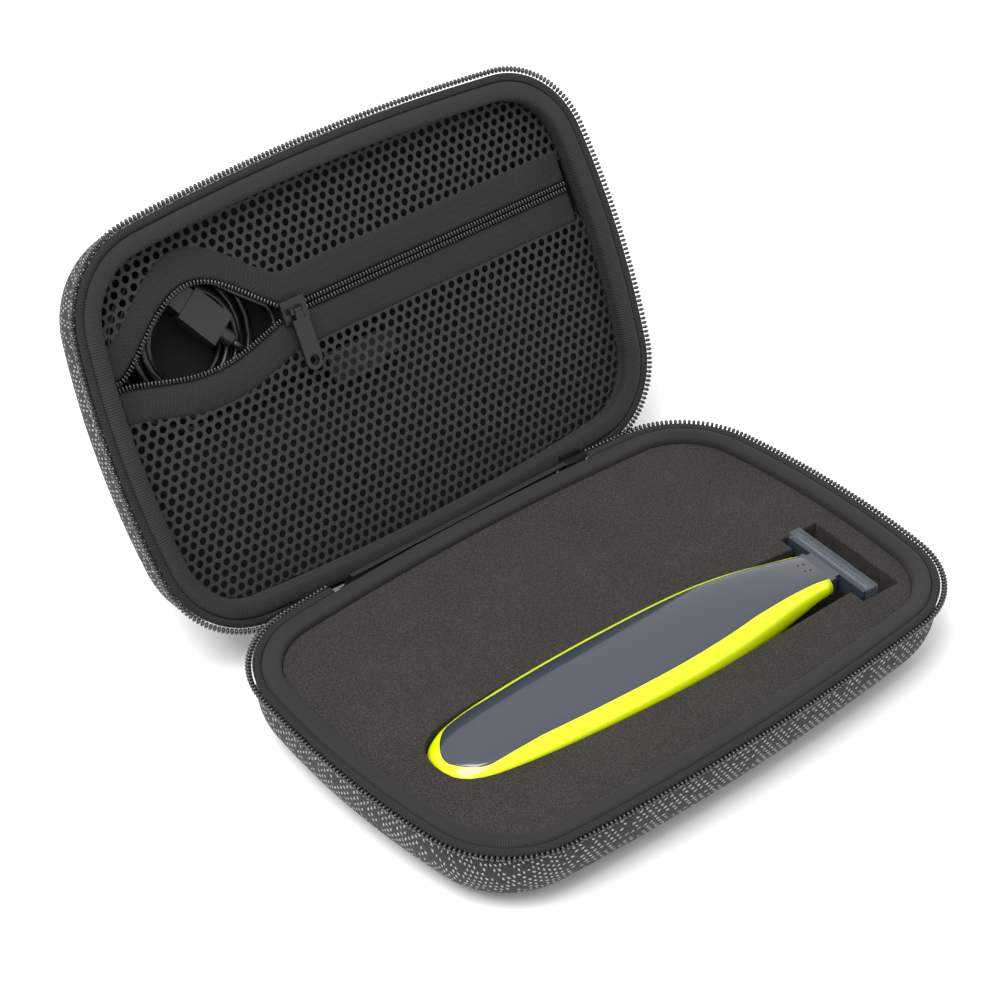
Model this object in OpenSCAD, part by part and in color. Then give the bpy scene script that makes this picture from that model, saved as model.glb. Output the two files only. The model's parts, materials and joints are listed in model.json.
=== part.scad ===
// Moulded hard case for an electric trimmer, standing open on its underside.
// +X runs along the long side, the hinge is at the back (+Y), +Z is up.

/* [Case] */
// Length between the zip chain lines at the two short sides
case_l = 202; // [190:1:230]
// Depth between the zip chain lines at the two long sides
case_d = 135; // [125:1:150]
// Height of each half, from its flat face to the parting plane
half_h = 27; // [26:0.5:32]
// Radius of the bowed long sides
long_r = 820; // [600:10:1200]
// Radius of the bowed short sides
short_r = 280; // [220:5:400]
// Radius of the corners in plan
corner_r = 31.2; // [28:0.2:36]
// Radius of the moulded edge under each wall
edge_r = 18; // [16:0.5:19]
// Angle that the lid stands open at
lid_open = 117.4; // [90:0.1:130]

/* [Walls] */
// Thickness of the woven cover
cover_t = 0.7; // [0.5:0.1:1.2]
// Thickness of the moulded foam shell
shell_t = 3.2; // [2:0.1:4]
// Thickness of the inner lining
lining_t = 0.6; // [0.4:0.1:1]
// Distance from the chain line in to the wall
wall_in = 1.6; // [1.4:0.1:2]
// Drop from the parting plane to the wall's top edge
rim_drop = 4; // [3.6:0.1:5]
// Gap between sewn layers
seat = 0.1; // [0.05:0.05:0.2]
// Half of the gap between the closed halves
rim_gap = 0.35; // [0.3:0.05:0.6]

/* [Binding and zip] */
// Width of the ribbed binding
binding_w = 6.1; // [5:0.1:7]
// Distance from the chain line in to the binding
binding_in = 3.4; // [3.2:0.1:4]
// Length of the binding's inner leg below the parting plane
binding_leg = 5.6; // [5.2:0.1:7]
// Width of a coil row across the chain
coil_w = 2.4; // [2:0.1:3]
// Height of a coil row
coil_h = 1.95; // [1.6:0.05:2.2]
// Thickness of the zip tape
tape_t = 0.5; // [0.4:0.05:0.7]

/* [Hinge] */
// Distance from the chain line in to the hinge axis
hinge_in = 2.7; // [2.5:0.1:3.2]
// Drop from the parting plane to the hinge axis
hinge_drop = 7.3; // [7:0.1:9]
// Distance from the parked slider to the cloth hinge
spine_gap = 0.6; // [0.4:0.1:3]

/* [Foam] */
// Height of the foam's face below the parting plane
foam_drop = 3; // [2.5:0.1:5]
// Thickness of the foam's bottom layer
foam_floor = 1.5; // [1:0.1:2]
// Distance from the chain line in to the foam's upper edge
foam_in = 9.9; // [9.7:0.1:12]
// Gap between the trimmer and the foam
nest_gap = 0.4; // [0.3:0.1:1]
// Distance from the blade's end to the foam's cross slot
slot_gap = 1.6; // [1.2:0.1:2]
// Length of the foam's cross slot along the trimmer
slot_l = 14.5; // [13:0.5:15]

/* [Pocket] */
// Depth of the mesh below the lid's parting plane
mesh_depth = 7; // [6.8:0.1:7]
// Thickness of the mesh
mesh_t = 0.6; // [0.5:0.1:0.9]
// Distance of the pocket chain in front of the middle
pocket_y = 20; // [15:1:24]
// Width of each pocket tape
pocket_tape_w = 10.5; // [8:0.5:12]
// Place of the pocket slider along the chain
pocket_slider_x = -24; // [-40:1:0]
// Rise of the upper tape at the pocket's mouth
mouth_up = 19; // [10:1:20]
// Sag of the lower tape at the pocket's mouth
mouth_down = 6; // [2:1:8]
// Spacing of the mesh holes
mesh_pitch = 8.6; // [8.4:0.1:11]
// Size of a mesh hole
mesh_hole = 6; // [4:0.1:6.4]

/* [Lead] */
// Diameter of the charging lead
lead_dia = 2.5; // [2:0.1:2.5]
// Spacing of the lead's turns
lead_pitch = 3.4; // [3.3:0.05:3.45]
// Radius of the innermost turn
lead_inner_r = 12.9; // [12:0.1:13.2]
// Turns in the layer against the lining
lead_turns = 4; // [3:1:4]
// Length of the lead's charging connector
connector_l = 26; // [22:1:28]
// Width of the charging connector
connector_w = 11; // [9:0.5:12]
// Thickness of the charging connector
connector_t = 6; // [5:0.1:6]

/* [Trimmer] */
// Angle of the trimmer across the case
trimmer_turn = -4.2; // [-6:0.1:-3]
// Wall of the trimmer's shells
trimmer_wall = 1.6; // [1.2:0.1:2]
// Width of the blade
blade_w = 34; // [30:0.5:35]
// Diameter of the power button
button_dia = 9; // [7:0.5:11]
// Diameter of the battery cell
battery_dia = 14; // [10:0.5:14]
// Length of the battery cell
battery_l = 44; // [40:1:50]
// Diameter of the motor
motor_dia = 13; // [10:0.5:14]
// Length of the motor
motor_l = 22; // [18:1:25]

/* [Hidden] */
$fn = 48;

half_l = case_l / 2;
half_d = case_d / 2;
rim_z = half_h;
hinge_y = half_d - hinge_in;
hinge_z = rim_z - hinge_drop;
wall_t = cover_t + shell_t + lining_t;
inner_depth = half_h - wall_t;
floor_z = wall_t + seat;
nest_z = floor_z + foam_floor;

// Centre of a corner arc, tangent inside the long arc and the short arc.
long_c = [0, half_d - long_r];
short_c = [half_l - short_r, 0];
arc_span = norm(short_c - long_c);
to_long = long_r - corner_r;
to_short = short_r - corner_r;
arc_along = (to_long * to_long - to_short * to_short + arc_span * arc_span) / (2 * arc_span);
arc_off = sqrt(to_long * to_long - arc_along * arc_along);
arc_dir = (short_c - long_c) / arc_span;
corner_c = long_c + arc_along * arc_dir + arc_off * [arc_dir[1], -arc_dir[0]];
short_end = atan2(corner_c[1], corner_c[0] - short_c[0]);
long_end = atan2(corner_c[1] - long_c[1], corner_c[0]);

// Angles, centres and radii of one quarter of the chain line: [angle, centre, radius].
short_steps = 2;
corner_steps = 8;
long_steps = 4;
quarter = concat(
    [for (i = [0 : short_steps - 1]) [short_end * i / short_steps, short_c, short_r]],
    [for (i = [0 : corner_steps - 1])
        [short_end + (long_end - short_end) * i / corner_steps, corner_c, corner_r]],
    [for (i = [0 : long_steps]) [long_end + (90 - long_end) * i / long_steps, long_c, long_r]]);
steps = len(quarter) - 1;

// Each entry of the chain line is [point, outward normal], counterclockwise from +X.
function spot(q) = [q[1] + q[2] * [cos(q[0]), sin(q[0])], [cos(q[0]), sin(q[0])]];
function turned(s, m) = [[s[0][0] * m[0], s[0][1] * m[1]], [s[1][0] * m[0], s[1][1] * m[1]]];
chain = concat(
    [for (i = [0 : steps]) spot(quarter[i])],
    [for (i = [1 : steps]) turned(spot(quarter[steps - i]), [-1, 1])],
    [for (i = [1 : steps]) turned(spot(quarter[i]), [-1, -1])],
    [for (i = [1 : steps - 1]) turned(spot(quarter[steps - i]), [1, -1])]);
laps = len(chain);
// The zip chain stops this many steps before the middle of the back.
spine_steps = 3;
zip_from = steps + spine_steps;
zip_to = laps + steps - spine_steps;

function inset(s, d, z) = [s[0][0] - d * s[1][0], s[0][1] - d * s[1][1], z];
function ring_points(path, profile) = [for (s = path) for (q = profile) inset(s, q[0], q[1])];
function side_faces(rows, m, closed) = [for (i = [0 : rows - 1]) for (j = [0 : (closed ? m - 1 : m - 2)])
    for (t = [0, 1]) let(a = i * m, b = (i + 1) * m, k = (j + 1) % m)
        t == 0 ? [a + j, a + k, b + j] : [a + k, b + k, b + j]];
function wrap(faces, count) = [for (f = faces) [for (v = f) v % count]];

// Closed ring around the chain line with a closed profile of [inset, height] points.
module ring(profile) {
    m = len(profile);
    polyhedron(ring_points(chain, profile), wrap(side_faces(laps, m, true), laps * m));
}

// Strip along the zipped stretch of the chain line, with flat ends.
module strip(profile) {
    m = len(profile);
    path = [for (i = [zip_from : zip_to]) chain[i % laps]];
    rows = len(path);
    ends = [[for (j = [0 : m - 1]) m - 1 - j], [for (j = [0 : m - 1]) (rows - 1) * m + j]];
    polyhedron(ring_points(path, profile), concat(side_faces(rows - 1, m, true), ends));
}

// Solid or bowl with an open profile that starts and ends on flat caps.
module bowl(profile) {
    m = len(profile);
    first = laps * m;
    middles = [[0, 0, profile[0][1]], [0, 0, profile[m - 1][1]]];
    low = [for (i = [0 : laps - 1]) [i * m, ((i + 1) % laps) * m, first]];
    high = [for (i = [0 : laps - 1]) [((i + 1) % laps) * m + m - 1, i * m + m - 1, first + 1]];
    polyhedron(concat(ring_points(chain, profile), middles),
        concat(wrap(side_faces(laps, m, false), laps * m), low, high));
}

// Profile of a wall face: t is the depth of the face inside the outer surface.
edge_steps = 5;
edge_c = [wall_in + edge_r, edge_r - half_h];
function wall_face(t) = concat([[wall_in + t, -rim_drop]],
    [for (i = [0 : edge_steps]) let(a = 90 * i / edge_steps)
        [edge_c[0] - (edge_r - t) * cos(a), edge_c[1] - (edge_r - t) * sin(a)]]);
function flip(list) = [for (i = [1 : len(list)]) list[len(list) - i]];

// One layer of a half's wall, between the depths t1 and t2, with the parting plane at zero.
module layer(t1, t2) bowl(concat(flip(wall_face(t1)), wall_face(t2)));

module base_half() translate([0, 0, rim_z]) children();
module about_hinge(angle) translate([0, hinge_y, hinge_z]) rotate([angle, 0, 0])
    translate([0, -hinge_y, -hinge_z]) children();
module lid_half() about_hinge(-lid_open) translate([0, 0, rim_z]) mirror([0, 0, 1]) children();

binding_out = binding_in + binding_w;
lining_in = wall_in + wall_t;
crown = 0.35;
module half_binding() ring([[binding_in, seat - rim_drop], [binding_in, -rim_gap - 4 * crown],
    [binding_in + 1, -rim_gap - crown], [binding_in + binding_w / 2, -rim_gap],
    [binding_out - 1, -rim_gap - crown], [binding_out, -rim_gap - 4 * crown],
    [binding_out, -binding_leg], [lining_in + 2 * seat, -binding_leg], [lining_in + 2 * seat, seat - rim_drop]]);

coil_out = coil_w - 0.9;
module half_coil() strip([[-coil_out, -rim_gap - coil_h * 0.7], [-coil_out, -rim_gap - coil_h * 0.3],
    [-coil_out / 2, -rim_gap], [0.5, -rim_gap], [0.9, -rim_gap - coil_h * 0.3],
    [0.9, -rim_gap - coil_h * 0.7], [0.5, -rim_gap - coil_h], [-coil_out / 2, -rim_gap - coil_h]]);

tape_top = -rim_gap - coil_h / 2 + tape_t / 2;
tape_leg = 2.7;
module half_tape() strip([[0.9 + seat, tape_top], [binding_in - seat, tape_top],
    [binding_in - seat, seat - rim_drop], [tape_leg, seat - rim_drop],
    [tape_leg, tape_top - tape_t], [0.9 + seat, tape_top - tape_t]]);

cloth_dark = [0.09, 0.09, 0.1];
cloth_grey = [0.2, 0.2, 0.21];
coil_black = [0.05, 0.05, 0.05];

module base_cover() color(cloth_grey) base_half() layer(0, cover_t);
module base_shell() color([0.12, 0.12, 0.12]) base_half() layer(cover_t, cover_t + shell_t);
module base_lining() color(cloth_dark) base_half() layer(cover_t + shell_t, wall_t);
module base_binding() color([0.24, 0.24, 0.25]) base_half() half_binding();
module base_zip_tape() color(cloth_dark) base_half() half_tape();
module base_zip_coil() color(coil_black) base_half() half_coil();

module lid_cover() color(cloth_grey) lid_half() layer(0, cover_t);
module lid_shell() color([0.12, 0.12, 0.12]) lid_half() layer(cover_t, cover_t + shell_t);
module lid_lining() color(cloth_dark) lid_half() layer(cover_t + shell_t, wall_t);
module lid_binding() color([0.24, 0.24, 0.25]) lid_half() half_binding();
module lid_zip_tape() color(cloth_dark) lid_half() half_tape();
module lid_zip_coil() color(coil_black) lid_half() half_coil();

// Slider of the main zip, parked at the right-hand end of the chain.
slider_at = chain[steps - spine_steps];
slider_l = 8;
spine_l = 2 * (slider_at[0][0] - slider_l - 2 * seat - spine_gap);
slider_gap = 0.35;
slider_out = coil_out + slider_gap;
slider_base = -rim_gap - coil_h - slider_gap;
slider_wall = 0.9;
slider_top = -rim_gap - 0.55;
pin_dia = 0.8;
pin_bore = 1;
barrel_dia = 1.6;
pull_eye = slider_out + slider_wall + 0.9;
pull_eye_z = slider_base - 0.2;
module at_slider() translate([slider_at[0][0], slider_at[0][1], rim_z])
    rotate(atan2(slider_at[1][1], slider_at[1][0])) translate([0, slider_l / 2 + seat, 0]) children();
module main_slider() color("dimgray") at_slider() {
    translate([slider_out, -slider_l / 2, slider_base - slider_wall])
        cube([slider_wall, slider_l, slider_top - slider_base + slider_wall]);
    translate([-0.9 - slider_gap, -slider_l / 2, slider_base - slider_wall])
        cube([slider_out + 0.9 + slider_gap + slider_wall, slider_l, slider_wall]);
    for (side = [-1, 1]) translate([slider_out + slider_wall, side * 2.4 - 0.6, slider_base - slider_wall])
        cube([pull_eye - slider_out - slider_wall + 0.6, 1.2, slider_wall + 0.3]);
    translate([pull_eye, -3, pull_eye_z]) rotate([-90, 0, 0]) cylinder(d = pin_dia, h = 6);
}
pull_l = 19;
pull_w = 6;
pull_t = 1.2;
module pull_tab() difference() {
    union() {
        translate([-1.3, 0, 0]) cube([2.6, 2.4, pull_t]);
        translate([-pull_w / 2, 2.4, 0]) cube([pull_w, pull_l - 2.4 - pull_w / 2, pull_t]);
        translate([0, pull_l - pull_w / 2, 0]) cylinder(d = pull_w, h = pull_t);
    }
    translate([0, pull_l - pull_w / 2, -1]) cylinder(d = 3.4, h = pull_t + 2);
}
module main_pull() color("gray") at_slider() translate([pull_eye, 0, pull_eye_z]) difference() {
    union() {
        translate([0, -1.4, 0]) rotate([-90, 0, 0]) cylinder(d = barrel_dia, h = 2.8);
        translate([-pull_t / 2, 0, -0.7]) rotate([-90, 0, 90]) translate([0, 0, -pull_t]) pull_tab();
    }
    translate([0, -3, 0]) rotate([-90, 0, 0]) cylinder(d = pin_bore, h = 6);
}

// Cloth hinge, a band along route points that are measured from the hinge axis.
spine_t = 0.6;
spine_side = [[-0.4, 6.1], [1.4, 6], [3, 3.8], [4, 0.5], [5.4, -2.2], [7.4, -3.4]];
function leg(i) = spine_side[i + 1] - spine_side[i];
spine_last = len(spine_side) - 1;
function spine_dir(i) = let(d = (i > 0 ? leg(i - 1) / norm(leg(i - 1)) : [0, 0])
    + (i < spine_last ? leg(i) / norm(leg(i)) : [0, 0])) d / norm(d);
function spine_face(side) = [for (i = [0 : spine_last])
    spine_side[i] + side * spine_t / 2 * [spine_dir(i)[1], -spine_dir(i)[0]]];
module spine_strip() color(cloth_dark) translate([-spine_l / 2, hinge_y, hinge_z])
    rotate([90, 0, 90]) linear_extrude(spine_l) polygon(concat(spine_face(1), flip(spine_face(-1))));

// Plan outline of the trimmer and its heights: [distance from the tail, half width, bottom, top].
stations = [[0, 3, 15.5, 19.5], [1.2, 6.6, 13, 22], [4.5, 10, 10.4, 24.2], [12, 12.8, 8.2, 26],
    [28, 14.8, 7, 27.4], [52, 16.2, 6.6, 28.5], [78, 16.6, 6.8, 29.4], [98, 15.8, 8.6, 30.3],
    [113, 14, 12.6, 30.6], [126, 11.6, 17, 30], [136, 9.8, 19.2, 28.6], [142.5, 9, 19.6, 27.2]];
tail = [-77.6, -14.9];
last = len(stations) - 1;
blade_s = stations[last][0] + 4.6;
section_n = 20;
bulge = 0.74;
function power(v) = sign(v) * pow(abs(v), bulge);
function section(q, cut) = let(mid = (q[2] + q[3]) / 2, rise = (q[3] - q[2]) / 2 - cut)
    [for (i = [0 : section_n - 1]) let(a = 360 * i / section_n)
        [q[0], (q[1] - cut) * power(cos(a)), mid + rise * power(sin(a))]];
module hull_body(from, to, cut) {
    rows = to - from + 1;
    pts = [for (i = [from : to]) each section(stations[i], cut)];
    ends = [[for (j = [0 : section_n - 1]) j], [for (j = [1 : section_n]) (rows - 1) * section_n + section_n - j]];
    faces = side_faces(rows - 1, section_n, true);
    polyhedron(pts, concat([for (f = faces) [f[0], f[2], f[1]]], ends));
}
module on_trimmer() translate([tail[0], tail[1], 0]) rotate(trimmer_turn) children();
// Solid above the joint line of the trimmer's two shells, as wide as the case.
shell_line = 3.2;
module above_joint() {
    line = [for (q = stations) [q[0], q[3] - shell_line]];
    translate([0, 25, 0]) rotate([90, 0, 0]) linear_extrude(50)
        polygon(concat([[-3, line[0][1] + 1]], [for (p = line) [p[0], p[1]]], [[150, 25], [150, 45], [-3, 45]]));
}
module trimmer_skin() difference() {
    hull_body(0, last, 0);
    hull_body(2, last - 1, trimmer_wall);
}
button_s = 92;
socket_dia = 6.6;
socket_z = 16.4;
button_floor = stations[6][2];
module button_hole(extra) translate([button_s, 0, button_floor - 4])
    cylinder(d = button_dia + extra, h = 12);
module trimmer_front_shell() color([0.86, 0.95, 0.02]) on_trimmer() difference() {
    trimmer_skin();
    above_joint();
    button_hole(0.4);
    translate([-2, 0, socket_z]) rotate([0, 90, 0]) cylinder(d = socket_dia + 0.2, h = 12);
}
module trimmer_back_shell() color([0.36, 0.39, 0.43]) on_trimmer() translate([0, 0, 0.05]) intersection() {
    trimmer_skin();
    above_joint();
}
button_low = button_floor + 0.6;
module trimmer_button() color("darkslategray") on_trimmer() translate([button_s, 0, button_low]) {
    cylinder(d = button_dia, h = 2.6);
    translate([0, 0, 2.6]) cylinder(d = 4, h = 1.4);
}
inside_z = 17.4;
board_z = 23.6;
module trimmer_battery() color("seagreen") on_trimmer() translate([20, 0, inside_z - 1])
    rotate([0, 90, 0]) cylinder(d = battery_dia, h = battery_l);
module trimmer_motor() color("silver") on_trimmer() {
    translate([102, 0, inside_z + 3.4]) rotate([0, 90, 0]) translate([0, 0, -motor_l]) cylinder(d = motor_dia, h = motor_l);
    translate([102, 0, inside_z + 3.4]) rotate([0, 90, 0]) cylinder(d = 2, h = 5);
}
module trimmer_board() color("green") on_trimmer() translate([24, -6, board_z])
    cube([52, 12, 1]);
module trimmer_socket() color([0.1, 0.1, 0.1]) on_trimmer() translate([3, 0, socket_z]) rotate([0, 90, 0])
    difference() {
        cylinder(d = socket_dia, h = 9);
        translate([0, 0, -1]) cylinder(d = 4.6, h = 7);
    }
neck_z = (stations[last][2] + stations[last][3]) / 2;
module trimmer_neck() color([0.2, 0.23, 0.27]) on_trimmer()
    translate([stations[last][0] + 0.1, -7.5, neck_z - 2.6]) cube([2.4, 15, 5.2]);
module blade_frame() color([0.22, 0.25, 0.3]) on_trimmer() {
    translate([stations[last][0] + 2.6, -6.5, neck_z - 2.4]) cube([2.2, 13, 4.8]);
    translate([blade_s + 0.2, -blade_w / 2, neck_z - 3.4]) cube([2.2, blade_w, 5.4]);
}
module blade_cutter() color("silver") on_trimmer()
    translate([blade_s + 2.5, -blade_w / 2 + 1.6, neck_z - 3]) cube([0.8, blade_w - 3.2, 4.4]);
module blade_guard() color([0.5, 0.55, 0.6, 0.6]) on_trimmer() difference() {
    translate([blade_s + 1, -blade_w / 2 - 0.8, neck_z - 4.6]) cube([4.4, blade_w + 1.6, 7.6]);
    translate([blade_s - 1, -blade_w / 2 - 0.1, neck_z - 3.5]) cube([5.6, blade_w + 0.2, 5.6]);
}

// Cut-out of the foam: the trimmer's plan with a cross slot for the blade at its end.
nest_taper = 98;
slot_half = blade_w / 2 + slot_gap;
nest_end = 13;
function nest_half(q) = q[0] <= nest_taper ? q[1] + nest_gap
    : nest_end + (stations[7][1] + nest_gap - nest_end) * (blade_s - q[0]) / (blade_s - nest_taper);
module nest_plan() {
    side = [for (q = stations) [q[0], nest_half(q)]];
    polygon(concat([[-nest_gap, 0]], side, [[blade_s, nest_end], [blade_s, -nest_end]],
        flip([for (p = side) [p[0], -p[1]]])));
    translate([blade_s - 1.2, -slot_half]) square([slot_l, 2 * slot_half]);
}
// Each slab of the foam stays clear of the lining at its lower face: [bottom, top] from the parting plane.
foam_low = -16;
foam_mid = -12;
foam_slabs = [[nest_z - rim_z, foam_low], [foam_low, foam_mid], [foam_mid, -binding_leg - 0.3]];
function clear_in(z) = z >= edge_c[1] ? lining_in + 0.3
    : edge_c[0] - sqrt(pow(edge_r - wall_t, 2) - pow(z - edge_c[1], 2)) + 0.4;
module foam_slab(bottom, top, d) base_half() translate([0, 0, bottom]) linear_extrude(top - bottom)
    difference() {
        half_plan(d);
        translate([tail[0], tail[1]]) rotate(trimmer_turn) nest_plan();
    }
module foam_insert() color([0.24, 0.22, 0.2]) {
    for (slab = foam_slabs) foam_slab(slab[0], slab[1], clear_in(slab[0]));
    foam_slab(-binding_leg - 0.3, -foam_drop, foam_in);
}
module foam_floor_pad() color([0.18, 0.17, 0.16]) base_half() translate([0, 0, floor_z - rim_z])
    linear_extrude(foam_floor - seat) half_plan(edge_c[0] - 1);

// Mesh pocket of the lid: the chain runs along X at pocket_y in front of the middle.
pocket_end = half_l - 12;
mouth_from = -pocket_end + 2;
function mouth(x) = x <= mouth_from || x >= pocket_slider_x ? 0
    : pow(sin(180 * (x - mouth_from) / (pocket_slider_x - mouth_from)), 1.4);
chain_half = 1.7;
function upper_edge(x) = -pocket_y - chain_half - mouth_up * mouth(x);
function lower_edge(x) = -pocket_y + chain_half + mouth_down * mouth(x);
mouth_xs = concat([for (i = [0 : 12]) mouth_from + (pocket_slider_x - mouth_from) * i / 12], [pocket_end]);
module half_plan(d) polygon([for (s = chain) [s[0][0] - d * s[1][0], s[0][1] - d * s[1][1]]]);
edge_strip = 2.2;
mesh_in = lining_in + edge_strip + 2 * seat;
module mesh_edge() color(cloth_dark) lid_half() ring([[lining_in + seat, -mesh_depth - 1.3],
    [lining_in + seat, -mesh_depth + 0.2], [lining_in + 1, -mesh_depth + 0.4],
    [lining_in + edge_strip, -mesh_depth + 0.2], [lining_in + edge_strip, -mesh_depth - 1.3]]);
// Band of tape along an edge function's points, w wide on the given side.
module tape_plan(upper, w) {
    inner = [for (x = mouth_xs) [x, upper ? upper_edge(x) : lower_edge(x)]];
    outer = [for (p = inner) [p[0], p[1] + (upper ? -w : w)]];
    polygon(concat([[-pocket_end, inner[0][1]]], inner, flip(outer), [[-pocket_end, outer[0][1]]]));
}
module flat_on_mesh(depth, t) lid_half() translate([0, 0, -depth - t]) linear_extrude(t) children();
module pocket_tape_upper() color(cloth_dark) flat_on_mesh(mesh_depth, mesh_t) intersection() {
    tape_plan(true, pocket_tape_w);
    half_plan(mesh_in);
}
module pocket_tape_lower() color(cloth_dark) flat_on_mesh(mesh_depth, mesh_t) intersection() {
    tape_plan(false, pocket_tape_w);
    half_plan(mesh_in);
}
module chain_run(side) {
    for (i = [0 : len(mouth_xs) - 2]) {
        x1 = mouth_xs[i];
        x2 = mouth_xs[i + 1];
        y1 = side < 0 ? upper_edge(x1) : lower_edge(x1);
        y2 = side < 0 ? upper_edge(x2) : lower_edge(x2);
        polygon([[x1, y1 - side * seat], [x2, y2 - side * seat], [x2, y2 - side * 1.5], [x1, y1 - side * 1.5]]);
    }
}
coil_pair_t = 1.6;
module pocket_coil_upper() color(coil_black) flat_on_mesh(mesh_depth - 0.5, coil_pair_t) chain_run(-1);
module pocket_coil_lower() color(coil_black) flat_on_mesh(mesh_depth - 0.5, coil_pair_t) chain_run(1);

// Outline of one mesh panel, from the lid's plan and the tape's edge.
function panel_bound(upper, x) = upper ? upper_edge(x) - pocket_tape_w - seat : lower_edge(x) + pocket_tape_w + seat;
function side_x(y) = short_c[0] + sqrt(pow(short_r - mesh_in, 2) - y * y);
function panel_outline(upper) = let(
    start = upper ? steps : 3 * steps,
    rim = [for (i = [0 : laps - 1]) let(s = chain[(start + i) % laps], p = s[0] - mesh_in * s[1])
        if (upper ? p[1] < panel_bound(upper, p[0]) - 1 : p[1] > panel_bound(upper, p[0]) + 1) p],
    y_end = panel_bound(upper, mouth_from),
    edge = concat([[-side_x(y_end), y_end]], [for (x = mouth_xs) [x, panel_bound(upper, x)]],
        [[side_x(y_end), y_end]]))
    concat(rim, upper ? flip(edge) : edge);
// A hole belongs to a panel when it keeps a margin to the plan and to the tape's edge.
net_margin = mesh_hole / 2 + 1.2;
function in_plan(p, m) = let(q = [abs(p[0]), abs(p[1])])
    norm(q - long_c) < long_r - m && norm(q - short_c) < short_r - m
    && (q[0] < corner_c[0] || q[1] < corner_c[1] || norm(q - corner_c) < corner_r - m);
row_step = mesh_pitch * sqrt(3) / 2;
net_rows = floor(half_d / row_step);
net_cols = floor(half_l / mesh_pitch) + 1;
function net_centres(upper) = [for (r = [-net_rows : net_rows]) for (c = [-net_cols : net_cols])
    let(p = [(c + 0.5 * (abs(r) % 2)) * mesh_pitch, r * row_step])
    if (in_plan(p, mesh_in + net_margin) && (upper ? p[1] < panel_bound(upper, p[0]) - net_margin
        : p[1] > panel_bound(upper, p[0]) + net_margin)) p];
module mesh_panel(upper) {
    rim = panel_outline(upper);
    holes = net_centres(upper);
    n = len(rim);
    points = concat(rim, [for (p = holes) for (i = [0 : 5]) p + mesh_hole / 2 * [cos(60 * i + 30), sin(60 * i + 30)]]);
    paths = concat([[for (i = [0 : n - 1]) i]], [for (h = [0 : len(holes) - 1]) [for (i = [0 : 5]) n + 6 * h + i]]);
    echo(gaps = len(holes));
    flat_on_mesh(mesh_depth, mesh_t) polygon(points, paths);
}
module mesh_upper() color([0.14, 0.14, 0.16]) mesh_panel(true);
module mesh_lower() color([0.14, 0.14, 0.16]) mesh_panel(false);

// Slider of the pocket zip and its pull, in the lid half's own frame.
p_slider_l = 9;
p_slider_w = 7.4;
p_front = mesh_depth - 2.3;
p_back = mesh_depth + 2.6;
pocket_pin = 1.2;
module at_pocket_slider() lid_half() translate([pocket_slider_x, -pocket_y, 0]) children();
module pocket_slider() color("dimgray") at_pocket_slider() {
    translate([-p_slider_l / 2, -p_slider_w / 2, -p_front - 1.2]) cube([p_slider_l, p_slider_w, 1.2]);
    translate([-p_slider_l / 2, -p_slider_w / 2, -p_back]) cube([p_slider_l, p_slider_w, 1]);
    translate([-p_slider_l / 2, -0.7, -p_back]) cube([1.2, 1.4, p_back - p_front]);
    for (end = [-1, 1]) translate([end * 2.2 - 0.5, -1, -p_front - 0.5])
        cube([1, 2, pocket_pin + 1.1]);
    translate([-2.2, 0, pocket_pin - p_front]) rotate([0, 90, 0]) cylinder(d = pin_dia, h = 4.4);
}
module pocket_pull() color("gray") at_pocket_slider() translate([0, 0, pocket_pin - p_front]) difference() {
    union() {
        translate([-1.3, 0, 0]) rotate([0, 90, 0]) cylinder(d = barrel_dia, h = 2.6);
        translate([0, 0.4, -pull_t / 2]) pull_tab();
    }
    translate([-3, 0, 0]) rotate([0, 90, 0]) cylinder(d = pin_bore, h = 6);
}

// Charging lead wound in the pocket: in along the lining, up a layer, and out again.
lead_c = [-56, -22];
lead_low = inner_depth - 0.35 - lead_dia / 2;
lead_step = lead_pitch + 0.05;
rings_per_turn = 24;
start_angle = 90;
outer_r = lead_inner_r + lead_turns * lead_pitch;
climb_turns = 0.5;
upper_turns = 2.14;
function lead_r(t) = t <= lead_turns ? outer_r - lead_pitch * t
    : t <= lead_turns + climb_turns ? lead_inner_r
    : lead_inner_r + lead_pitch * (t - lead_turns - climb_turns);
function lead_depth(t) = lead_low - lead_step * (t <= lead_turns ? 0
    : t >= lead_turns + climb_turns ? 1
    : (1 - cos(180 * (t - lead_turns) / climb_turns)) / 2);
turn_total = lead_turns + climb_turns + upper_turns;
ring_count = floor(turn_total * rings_per_turn);
function lead_spot(k) = let(t = k / rings_per_turn, a = start_angle + 360 * t)
    [lead_c[0] + lead_r(t) * cos(a), lead_c[1] + lead_r(t) * sin(a), -lead_depth(t)];
plug_x = -12;
lead_in = [for (x = [plug_x, -22, -32, -42, -50]) [x, lead_c[1] + outer_r, -lead_low]];
loop_c = [-35.1, -19.2];
loop_r = 8;
connector_depth = mesh_depth + 2.9 + connector_t / 2;
lead_wound = [for (k = [0 : ring_count]) lead_spot(k)];
coil_end = lead_wound[ring_count];
loop_start = [loop_c[0] + loop_r * cos(-34), loop_c[1] + loop_r * sin(-34)];
rise_end = -connector_depth - 0.4;
lead_rise = [for (u = [0.3, 0.6, 0.85]) [coil_end[0] + (loop_start[0] - coil_end[0]) * u,
    coil_end[1] + (loop_start[1] - coil_end[1]) * u, coil_end[2] + (rise_end - coil_end[2]) * u]];
lead_loop = [for (a = [-34 : 18 : 146]) [loop_c[0] + loop_r * cos(a), loop_c[1] + loop_r * sin(a),
    rise_end + 0.4 * (a + 34) / 180]];
connector_back = [-43.9, -18];
connector_dir = [-0.565, -0.825];
lead_route = concat(lead_in, lead_wound, lead_rise, lead_loop,
    [[connector_back[0] - connector_dir[0] * 0.2, connector_back[1] - connector_dir[1] * 0.2, -connector_depth]]);

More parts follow.
